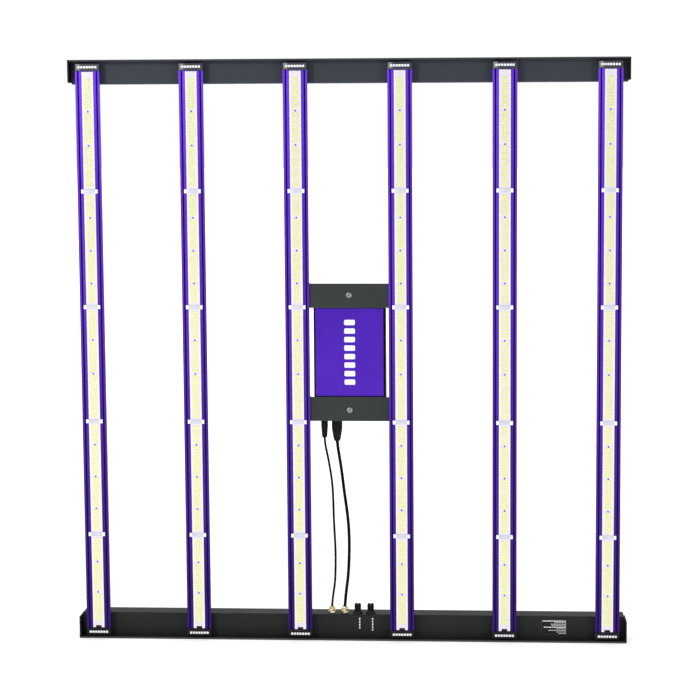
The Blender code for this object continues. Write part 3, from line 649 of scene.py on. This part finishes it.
def soften(node, material, width):
    """Gives a CAD node its material and rounded edges of a width, and leaves its mesh as it is."""
    obj = NODES[node]
    obj.data.materials.clear()
    obj.data.materials.append(material)
    weld = obj.modifiers.new("weld", "WELD")
    weld.merge_threshold = 0.00001
    planar = obj.modifiers.new("planar", "DECIMATE")
    planar.decimate_type = "DISSOLVE"
    planar.angle_limit = math.radians(0.5)
    if width:
        bevel = obj.modifiers.new("edges", "BEVEL")
        bevel.width = width
        bevel.segments = 2
        bevel.limit_method = "ANGLE"
        bevel.angle_limit = math.radians(40)
        bevel.use_clamp_overlap = True
    normals = obj.modifiers.new("normals", "WEIGHTED_NORMAL")
    normals.keep_sharp = False
    obj.data.shade_smooth()


# Leads ------------------------------------------------------------------------------------------


LEAD_STEP = 0.0145
CURVE_STEPS = 24


def smooth_route(points, step):
    """Points about a step apart on a smooth curve through the route's points, and its length."""
    route = [Vector((x, at(depth), z)) for x, depth, z in points]
    fine = []
    for index in range(len(route) - 1):
        before = route[max(index - 1, 0)]
        start, end = route[index], route[index + 1]
        after = route[min(index + 2, len(route) - 1)]
        leave = start + (end - before) / 6
        arrive = end - (after - start) / 6
        fine += interpolate_bezier(start, leave, arrive, end, CURVE_STEPS)[:-1]
    fine.append(route[-1])
    lengths = [0.0]
    for start, end in zip(fine, fine[1:]):
        lengths.append(lengths[-1] + (end - start).length)
    count = max(2, round(lengths[-1] / step))
    spaced = []
    index = 0
    for stop in range(count + 1):
        target = lengths[-1] * stop / count
        while index < len(fine) - 2 and lengths[index + 1] < target:
            index += 1
        share = (target - lengths[index]) / (lengths[index + 1] - lengths[index])
        spaced.append(fine[index].lerp(fine[index + 1], min(max(share, 0.0), 1.0)))
    return spaced, lengths[-1]


def lead(name, route, diameter, node):
    """A cable through evenly spaced points of its route."""
    points, length = smooth_route(route, LEAD_STEP)
    curve = bpy.data.curves.new(name, "CURVE")
    curve.dimensions = "3D"
    curve.bevel_depth = diameter / 2
    curve.bevel_resolution = 6
    curve.use_fill_caps = True
    curve.resolution_u = 8
    spline = curve.splines.new("BEZIER")
    spline.bezier_points.add(len(points) - 1)
    for target, point in zip(spline.bezier_points, points):
        target.co = point
        target.handle_left_type = target.handle_right_type = "AUTO"
    spline.use_smooth = True
    curve.materials.append(CABLE)
    obj = place(name, curve)
    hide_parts(node)


lead("control_lead", CONTROL_ROUTE, CONTROL_DIAMETER, "control_cable")
lead("power_lead", POWER_ROUTE, POWER_DIAMETER, "power_cable")


def strain_relief(name, node, tip, shoulder, collar):
    """A tapered boot with flexing ribs from its waist to its tip. tip, shoulder and collar are
    radii, and heights run down from its seat under the driver."""
    low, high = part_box(node)
    seat = high.z - 0.0050
    length = seat - low.z
    waist = length * 0.66
    profile = [(0, 0), (collar, 0), (collar, length * 0.34), (shoulder, length * 0.40)]
    profile.append((shoulder, waist))
    ribs = 5
    first = waist + length * 0.03
    pitch = (length - first - 0.003) / ribs
    for rib in range(ribs):
        crest = shoulder + (tip - shoulder) * (0.1 + 0.9 * rib / ribs)
        groove = crest * 0.94
        height = first + pitch * rib
        profile += [(crest, height), (crest, height + pitch * 0.55)]
        profile += [(groove, height + pitch * 0.62), (groove, height + pitch * 0.95)]
    profile += [(tip * 0.98, length - 0.0029), (tip * 0.80, length), (0, length)]
    middle = middle_of(node)
    bm = bmesh.new()
    add_turned(bm, rounded(profile, 0.0004), (middle.x, middle.y, seat), (0, 0, -1), 40)
    obj = show(name, bm, RUBBER)
    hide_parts(node)


strain_relief("control_boot", "control_strain_relief", 0.0052, 0.0067, 0.0068)
strain_relief("power_boot", "power_strain_relief", 0.0066, 0.0104, 0.0106)


# Rails ------------------------------------------------------------------------------------------

for level in ("top", "bottom"):
    soften(f"{level}_rail", CHARCOAL, 0.0003)
    soften(f"{level}_rail_cover", CHARCOAL, 0.0003)
    for hand in ("left", "right"):
        soften(f"rail_end_plate_{level}_{hand}", BLACK_COAT, 0.0005)


# LED bars ---------------------------------------------------------------------------------------


def board_mesh():
    """The five boards of one bar, about X = 0, with hairline joints."""
    bm = bmesh.new()
    edges = (BOARD_TOP, *BOARD_JOINTS, BOARD_BOTTOM)
    thickness = BOARD_BACK - BOARD_FRONT
    for above, below in zip(edges, edges[1:]):
        half_height = (above - below) / 2 - 0.0003
        centre = (0.0, at(BOARD_BACK), (above + below) / 2)
        add_block(bm, centre, (BOARD_HALF, thickness, half_height), 0.0002)
    return bm


def package_mesh():
    """Every LED package of one bar: a white housing around a slightly sunk yellow window. A row
    is left out where a board screw stands."""
    bm = bmesh.new()
    wide, tall = PACKAGE_HALF
    for top, pitch, count in LED_ROWS:
        for row in range(count):
            z = top - row * pitch
            if min(abs(z - screw) for screw in SCREW_HEIGHTS) < SCREW_CLEARANCE:
                continue
            for column in (-1, 0, 1):
                centre = (column * COLUMN_PITCH, at(BOARD_FRONT), z)
                window = add_block(bm, centre, (wide, PACKAGE_HEIGHT, tall), PACKAGE_CHAMFER)
                bmesh.ops.inset_region(
                    bm, faces=[window], thickness=WINDOW_BORDER, depth=-WINDOW_SINK
                )
                window.material_index = 1
    return bm


def strap_mesh():
    """The white straps over the board joints: two tabs on the ledges and a film-covered middle."""
    bm = bmesh.new()
    for joint in BOARD_JOINTS:
        film = (0.0106, 0.0014, STRAP_HALF_HEIGHT)
        tab = (0.0027, 0.0016, STRAP_HALF_HEIGHT)
        add_block(bm, (0.0, at(BOARD_FRONT), joint), film, STRAP_CHAMFER, 1)
        for side in (-1, 1):
            add_block(bm, (side * 0.0134, at(LEDGE_FRONT), joint), tab, STRAP_CHAMFER)
    return bm


def board_screw_mesh():
    """Pan-head screws with a cross recess painted as dark bars."""
    head = (
        (0, 0),
        (0.0017, 0),
        (0.0016, 0.0005),
        (0.0011, 0.00095),
        (0.0007, 0.00105),
        (0, 0.00105),
    )
    bm = bmesh.new()
    for z in SCREW_HEIGHTS:
        add_turned(bm, head, (0.0, at(BOARD_FRONT), z), (0, -1, 0), 20)
        add_cross(bm, (0.0, at(BOARD_FRONT - 0.00104), z), 0.0008, 0.0002, 0.00003)
    return bm


def cap_marks(node, rise, patch):
    """A row of plain rounded dashes on the end caps like node, with a pale patch at its left end
    where patch is set. rise is the row's height above the cap's foot."""
    bm = bmesh.new()
    front = at(CAP_FRONT)
    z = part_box(node)[0].z + rise
    count, pitch = 7, 0.0054
    for index in range(count):
        x = (index - (count - 1) / 2) * pitch
        add_plate(bm, (x, front, z), 0.0021, 0.0021, 0.0006, 0.00014)
    if patch:
        # A pale grey patch at the left end.
        add_plate(bm, (-0.0176, front, z), 0.0042, 0.0058, 0.0004, 0.00006, 1)
    return finished("cap_marks", bm, INK, PALE_PATCH)


BOARDS = finished("boards", board_mesh(), BOARD)
PACKAGES = finished("packages", package_mesh(), HOUSING, PHOSPHOR)
STRAPS = finished("straps", strap_mesh(), STRAP_WHITE, STRAP_FILM)
BOARD_SCREW_HEADS = finished("board_screws", board_screw_mesh(), SCREW_DARK, SOCKET_PAINTED_SHADOW)
TOP_MARKS = cap_marks("bar_end_cap_top_1", 0.0074, True)
BOTTOM_MARKS = cap_marks("bar_end_cap_bottom_1", 0.0070, False)

for number, x in enumerate(BAR_XS, start=1):
    soften(f"light_bar_{number}", PURPLE, 0.00025)
    soften(f"bar_end_cap_top_{number}", CAP_TOP_PAINTED_LIT, 0.0006)
    soften(f"bar_end_cap_bottom_{number}", CAP_BOTTOM, 0.0005)
    bar = (x, 0.0, 0.0)
    boards = place(f"led_boards_{number}", BOARDS, location=bar)
    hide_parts(f"led_strip_{number}")
    place(f"led_packages_{number}", PACKAGES, location=bar)
    place(f"board_straps_{number}", STRAPS, location=bar)
    place(f"board_screws_{number}", BOARD_SCREW_HEADS, location=bar)
    place(f"cap_marks_top_{number}", TOP_MARKS, location=bar)
    place(f"cap_marks_bottom_{number}", BOTTOM_MARKS, location=bar)


# Driver -----------------------------------------------------------------------------------------

soften("driver_case", BLACK_METAL, 0.0004)
soften("driver_face_panel", FACE_PURPLE, 0.0003)
soften("driver_top_cover", BLACK_COAT, 0.0003)
soften("driver_bottom_cover", BLACK_COAT, 0.0003)
soften("driver_bracket_top", BRACKET_COAT_PAINTED_LIT, 0.0004)
soften("driver_bracket_bottom", BRACKET_COAT_PAINTED_LIT, 0.0004)
soften("driver_circuit_board", CIRCUIT, 0.0)
soften("distribution_board", CIRCUIT, 0.0)


def face_marks():
    """A column of plain rounded bars on the driver's face."""
    bm = bmesh.new()
    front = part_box("driver_face_panel")[0].y
    count, pitch = 8, 0.0166
    for index in range(count):
        z = DRIVER_Z + (index - (count - 1) / 2) * pitch
        add_plate(bm, (0.0004, front, z), 0.0104, 0.0052, 0.0024, 0.00015)
    show("driver_face_marks", bm, INK)


def driver_screw(name, node):
    """A large button-head screw with a hexagonal socket painted as a thin dark disc. Heights run
    forward from its seat.
    """
    middle = middle_of(node)
    seat = (middle.x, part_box(node)[0].y + 0.0034, middle.z)
    profile = (
        (0, -0.0080),
        (0.0029, -0.0080),
        (0.0029, 0.0),
        (0.0063, 0.0),
        (0.00635, 0.0007),
        (0.0061, 0.0014),
        (0.0056, 0.0020),
        (0.0048, 0.0027),
        (0.0038, 0.0032),
        (0.0026, 0.0034),
        (0.0022, 0.0032),
        (0, 0.0032),
    )
    # Painted shadow: a thin dark hexagon stands for the socket.
    socket = ((0, 0.00315), (0.0023, 0.00315), (0.0023, 0.00329), (0, 0.00329))
    bm = bmesh.new()
    add_turned(bm, profile, seat, (0, -1, 0), 48)
    add_turned(bm, socket, seat, (0, -1, 0), 6, material_index=1)
    obj = show(name, bm, BOLT, BOLT_SOCKET_PAINTED_SHADOW)
    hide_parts(node)


def inlet():
    """The mains inlet on the driver's upper end: a ribbed round socket with three pins."""
    low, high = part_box("mains_inlet")
    seat = Vector(((low.x + high.x) / 2, (low.y + high.y) / 2, low.z + 0.0080))
    profile = (
        (0, -0.0080),
        (0.0094, -0.0080),
        (0.0094, 0),
        (0.0125, 0),
        (0.0125, 0.0030),
        (0.0096, 0.0030),
        (0.0096, 0.0060),
        (0.0090, 0.0064),
        (0.0095, 0.0070),
        (0.0090, 0.0078),
        (0.0095, 0.0086),
        (0.0090, 0.0094),
        (0.0095, 0.0102),
        (0.0095, 0.0160),
        (0.0078, 0.0160),
        (0.0078, 0.0050),
        (0, 0.0050),
    )
    pin = ((0, 0), (0.0009, 0), (0.0009, 0.0095), (0, 0.0095))
    bm = bmesh.new()
    add_turned(bm, rounded(profile), seat, (0, 0, 1), 48)
    for index in range(3):
        angle = math.radians(90 + 120 * index)
        foot = seat + Vector((0.0048 * math.cos(angle), 0.0048 * math.sin(angle), 0.0040))
        add_turned(bm, rounded(pin), foot, (0, 0, 1), 14, material_index=1)
    obj = show("mains_inlet_socket", bm, PLASTIC, BRASS)
    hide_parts("mains_inlet")


face_marks()
driver_screw("driver_bolt_top", "driver_screw_top")
driver_screw("driver_bolt_bottom", "driver_screw_bottom")
inlet()


# Glands, ports and plate ------------------------------------------------------------------------


def gland(name, cable_diameter):
    """A brass gland: a hexagonal body in the rail, and a hexagonal nut with a dome over it."""
    low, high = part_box(f"{name}_gland_body")
    seat = Vector(((low.x + high.x) / 2, (low.y + high.y) / 2, low.z + 0.009))
    body = (
        (0, -0.009),
        (0.0052, -0.009),
        (0.0052, 0),
        (0.0072, 0),
        (0.0080, 0.0006),
        (0.0080, 0.0036),
        (0.0072, 0.0042),
        (0, 0.0042),
    )
    bm = bmesh.new()
    add_turned(bm, body, seat, (0, 0, 1), 6, turn=math.radians(15))
    obj = show(f"{name}_gland_hexagon", bm, BRASS, smooth=20)
    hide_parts(f"{name}_gland_body")

    low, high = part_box(f"{name}_gland_nut")
    seat = Vector((seat.x, seat.y, low.z))
    top = high.z - low.z
    hole = cable_diameter / 2
    nut = (
        (0, 0),
        (0.0070, 0),
        (0.0078, 0.0005),
        (0.0078, 0.0036),
        (0.0068, 0.0044),
        (0, 0.0044),
    )
    dome = (
        (0, 0.0040),
        (0.0058, 0.0040),
        (0.0058, 0.0052),
        (0.0054, 0.0066),
        (0.0046, 0.0077),
        (0.0038, top),
        (hole + 0.0003, top),
        (hole + 0.0002, top - 0.0012),
        (0, top - 0.0012),
    )
    bm = bmesh.new()
    add_turned(bm, nut, seat, (0, 0, 1), 6, turn=math.radians(45))
    add_turned(bm, dome, seat, (0, 0, 1), 40)
    obj = show(f"{name}_gland_cap", bm, BRASS, smooth=25)
    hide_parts(f"{name}_gland_nut")


def port(number):
    """A round control port with a flange and a threaded neck."""
    low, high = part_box(f"control_port_{number}")
    seat = Vector(((low.x + high.x) / 2, (low.y + high.y) / 2, low.z + 0.010))
    neck = 0.0042
    profile = [
        (0, -0.0100),
        (0.0052, -0.0100),
        (0.0052, 0),
        (0.0098, 0),
        (0.0098, 0.0018),
        (0.0093, 0.0024),
        (0.0088, 0.0040),
        (neck, 0.0040),
    ]
    threads, pitch = 5, 0.0014
    for thread in range(threads):
        height = 0.0052 + thread * pitch
        profile += [(neck, height), (neck - 0.0003, height + 0.0004), (neck, height + 0.0008)]
    profile += [(neck, 0.0130), (0.0036, 0.0130), (0.0036, 0.0080), (0, 0.0080)]
    bm = bmesh.new()
    add_turned(bm, rounded(profile, 0.0002), seat, (0, 0, 1), 48)
    obj = show(f"port_socket_{number}", bm, PLASTIC)
    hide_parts(f"control_port_{number}")


def dust_cap(number):
    """A soft cap with a groove round its skirt, and a notch that leaves two finger lobes on its
    crown."""
    low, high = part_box(f"dust_cap_{number}")
    x, y = (low.x + high.x) / 2, (low.y + high.y) / 2
    height = high.z - low.z
    profile = (
        (0, 0.0096),
        (0.0045, 0.0096),
        (0.0045, 0.0),
        (0.0066, 0.0),
        (0.0066, 0.0014),
        (0.0062, 0.0018),
        (0.0064, 0.0022),
        (0.0065, 0.0104),
        (0.0063, 0.0122),
        (0.0058, 0.0134),
        (0.0050, height - 0.0002),
        (0.0044, height),
        (0, height),
    )
    name = f"dust_cap_moulding_{number}"
    bm = bmesh.new()
    add_turned(bm, rounded(profile), (0.0, 0.0, 0.0), (0, 0, 1), 48)
    cap = finished(name, bm, RUBBER, smooth=35)
    obj = place(name, cap, f"dust_cap_{number}_body", (x, y, low.z))

    radius, reach = 0.0023, 0.01
    rod = ((0, -reach), (radius, -reach), (radius, reach), (0, reach))
    bm = bmesh.new()
    add_turned(bm, rod, (x, y, high.z + 0.0001), (0, 1, 0), 24)
    cutter = bpy.data.objects.new(f"notch_{number}", finished(f"notch_{number}", bm))
    bpy.context.scene.collection.objects.link(cutter)
    boolean = obj.modifiers.new("notch", "BOOLEAN")
    boolean.operation = "DIFFERENCE"
    boolean.object = cutter
    bpy.context.view_layer.update()
    evaluated = obj.evaluated_get(bpy.context.evaluated_depsgraph_get())
    carved = bpy.data.meshes.new_from_object(evaluated)
    obj.modifiers.clear()
    obj.data = carved
    carved.shade_smooth()
    carved.set_sharp_from_angle(angle=math.radians(35))
    bpy.data.objects.remove(cutter, do_unlink=True)
    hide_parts(f"dust_cap_{number}")


def port_marks():
    """An upright column of plain dashes on the web beside each port."""
    bm = bmesh.new()
    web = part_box("rating_plate")[1].y + 0.0003
    top = 0.0405
    for node, bottom, count in (("control_port_1", 0.0175, 4), ("control_port_2", 0.0135, 5)):
        x = middle_of(node).x + 0.0045
        pitch = (top - bottom) / count
        for index in range(count):
            z = bottom + pitch * (index + 0.5)
            add_plate(bm, (x, web, z), 0.0011, pitch * 0.36, 0.0006, 0.0001)
    show("port_marks", bm, INK)


def rating_plate_rules():
    """The rating plate's rows of plain dashes, set from its right edge, and its thin border."""
    low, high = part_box("rating_plate")
    front = low.y
    right = high.x - 0.0014
    row_lengths = (0.046, 0.025, 0.031, 0.028, 0.045, 0.019, 0.035, 0.018, 0.016)
    bold_rows = (0, 4)
    dash_widths = (0.0042, 0.0028, 0.0056, 0.0036)
    bm = bmesh.new()
    for row, length in enumerate(row_lengths):
        z = high.z - 0.0026 - row * 0.0031
        half_height = 0.0009 if row in bold_rows else 0.0005
        end = right
        dash = 0
        while end > right - length + 0.002:
            width = min(dash_widths[(row + dash) % len(dash_widths)], end - right + length)
            add_plate(bm, (end - width / 2, front, z), width / 2, half_height, 0.0003, 0.00008)
            end -= width + 0.0008
            dash += 1
    middle = middle_of("rating_plate")
    half_x, half_z, line = 0.0242, 0.0144, 0.00018
    for side in (1, -1):
        centre = (middle.x + side * half_x, front, middle.z)
        add_plate(bm, centre, line, half_z, 0.0001, 0.00006, 1)
    for side in (1, -1):
        centre = (middle.x, front, middle.z + side * half_z)
        add_plate(bm, centre, half_x, line, 0.0001, 0.00006, 1)
    show("rating_plate_rules", bm, INK, DIM_INK)


gland("control", CONTROL_DIAMETER)
gland("power", POWER_DIAMETER)
for number in (1, 2):
    port(number)
    dust_cap(number)
soften("rating_plate", PLASTIC, 0.0)
port_marks()
rating_plate_rules()


# Hanging rings and cover screws -----------------------------------------------------------------


def hanging_ring(level, hand):
    """A welded wire ring with a smooth D shape, about the straight bar in its eye."""
    node = f"hanging_ring_{level}_{hand}"
    low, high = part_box(node)
    wire = 0.0040
    pivot = Vector(((low.x + high.x) / 2, (low.y + high.y) / 2, high.z - wire / 2))
    half, corner, leg = 0.014, 0.005, 0.012
    points = []
    for centre_x, centre_z, radius, start, end, steps in (
        (half - corner, -corner, corner, 90, 0, 8),
        (0.0, -leg, half, 0, -180, 28),
        (-(half - corner), -corner, corner, 180, 90, 8),
    ):
        for step in range(steps + 1):
            angle = math.radians(start + (end - start) * step / steps)
            x = centre_x + radius * math.cos(angle)
            z = centre_z + radius * math.sin(angle)
            points.append((x, 0.0, z, 1.0))
    curve = bpy.data.curves.new(node, "CURVE")
    curve.dimensions = "3D"
    curve.bevel_depth = wire / 2
    curve.bevel_resolution = 6
    spline = curve.splines.new("POLY")
    spline.points.add(len(points) - 1)
    for target, point in zip(spline.points, points):
        target.co = point
    spline.use_cyclic_u = True
    spline.use_smooth = True
    curve.materials.append(RING_STEEL)
    obj = place(f"ring_wire_{level}_{hand}", curve, f"{node}_body", pivot)
    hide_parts(node)


def cover_screw_heads():
    """Pan heads with a cross recess painted as dark bars, over the screws of the rail covers."""
    back = at(COVER_BACK)
    head = (
        (0, 0.0001),
        (0.0033, 0.0001),
        (0.0033, 0.0010),
        (0.0028, 0.0019),
        (0.0016, 0.0023),
        (0, 0.0023),
    )
    for level in ("top", "bottom"):
        low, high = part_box(f"{level}_rail_cover")
        bm = bmesh.new()
        for x in (-0.430, 0.0, 0.430):
            for z in (low.z + 0.0055, high.z - 0.0055):
                add_turned(bm, head, (x, back, z), (0, 1, 0), 28)
                add_cross(bm, (x, back + 0.00236, z), 0.0014, 0.0003, 0.00005)
        obj = show(f"cover_screws_{level}", bm, STEEL, SOCKET_PAINTED_SHADOW)


for level in ("top", "bottom"):
    for hand in ("left", "right"):
        hanging_ring(level, hand)
cover_screw_heads()


# Studio -----------------------------------------------------------------------------------------


WHITE = (1.0, 1.0, 1.0, 1.0)
LIGHT_AIM = Vector((0.0, 0.0, 0.9))
# name, place, size and power in watts
LIGHTS = (
    ("key", (-1.8, -2.4, 1.8), 0.35, 34.0),
    ("fill", (2.6, -2.6, 1.0), 1.2, 24.0),
    ("overhead", (0.0, 1.2, 3.2), 1.6, 14.0),
)


def studio_floor():
    """White paper that glows faintly, more behind the light than in front of it."""
    bm = bmesh.new()
    bmesh.ops.create_grid(bm, x_segments=8, y_segments=8, size=30.0)
    mesh = bpy.data.meshes.new("floor")
    bm.to_mesh(mesh)
    bm.free()
    floor = bpy.data.objects.new("floor", mesh)
    bpy.context.scene.collection.objects.link(floor)
    shader = Shader("floor_paper")
    shader.colour(shader.mix(shader.noise(40.0), (0.76, 0.76, 0.76), (0.78, 0.78, 0.78)))
    shader.bsdf.inputs["Emission Color"].default_value = WHITE
    glow = shader.ramp(shader.axis("Y"), 0.46, 0.95, 0.6, 4.0)
    shader.link(glow, shader.bsdf.inputs["Emission Strength"])
    shader.roughness(shader.ramp(shader.noise(200.0), 0.8, 0.95))
    mesh.materials.append(shader.material)


def studio_world():
    """A white world, dimmer in front of the light than behind it."""
    world = bpy.data.worlds.new("studio")
    bpy.context.scene.world = world
    world.use_nodes = True
    nodes, links = world.node_tree.nodes, world.node_tree.links
    direction = nodes.new("ShaderNodeSeparateXYZ")
    generated = nodes.new("ShaderNodeTexCoord").outputs["Generated"]
    links.new(generated, direction.inputs["Vector"])
    sweep = nodes.new("ShaderNodeMapRange")
    sweep.interpolation_type = "SMOOTHSTEP"
    for socket, value in (
        ("From Min", -0.5),
        ("From Max", 0.55),
        ("To Min", 0.42),
        ("To Max", 1.02),
    ):
        sweep.inputs[socket].default_value = value
    links.new(direction.outputs["Y"], sweep.inputs["Value"])
    links.new(sweep.outputs["Result"], nodes["Background"].inputs["Strength"])
    nodes["Background"].inputs["Color"].default_value = WHITE


def studio_lights():
    """Three square area lights, each aimed at the middle of the light."""
    for name, spot, size, power in LIGHTS:
        light = bpy.data.lights.new(name, "AREA")
        light.size = size
        light.energy = power
        obj = bpy.data.objects.new(name, light)
        obj.location = spot
        obj.rotation_mode = "QUATERNION"
        obj.rotation_quaternion = (LIGHT_AIM - Vector(spot)).to_track_quat("-Z", "Y")
        bpy.context.scene.collection.objects.link(obj)


studio_floor()
studio_world()
studio_lights()

bpy.context.view_layer.update()
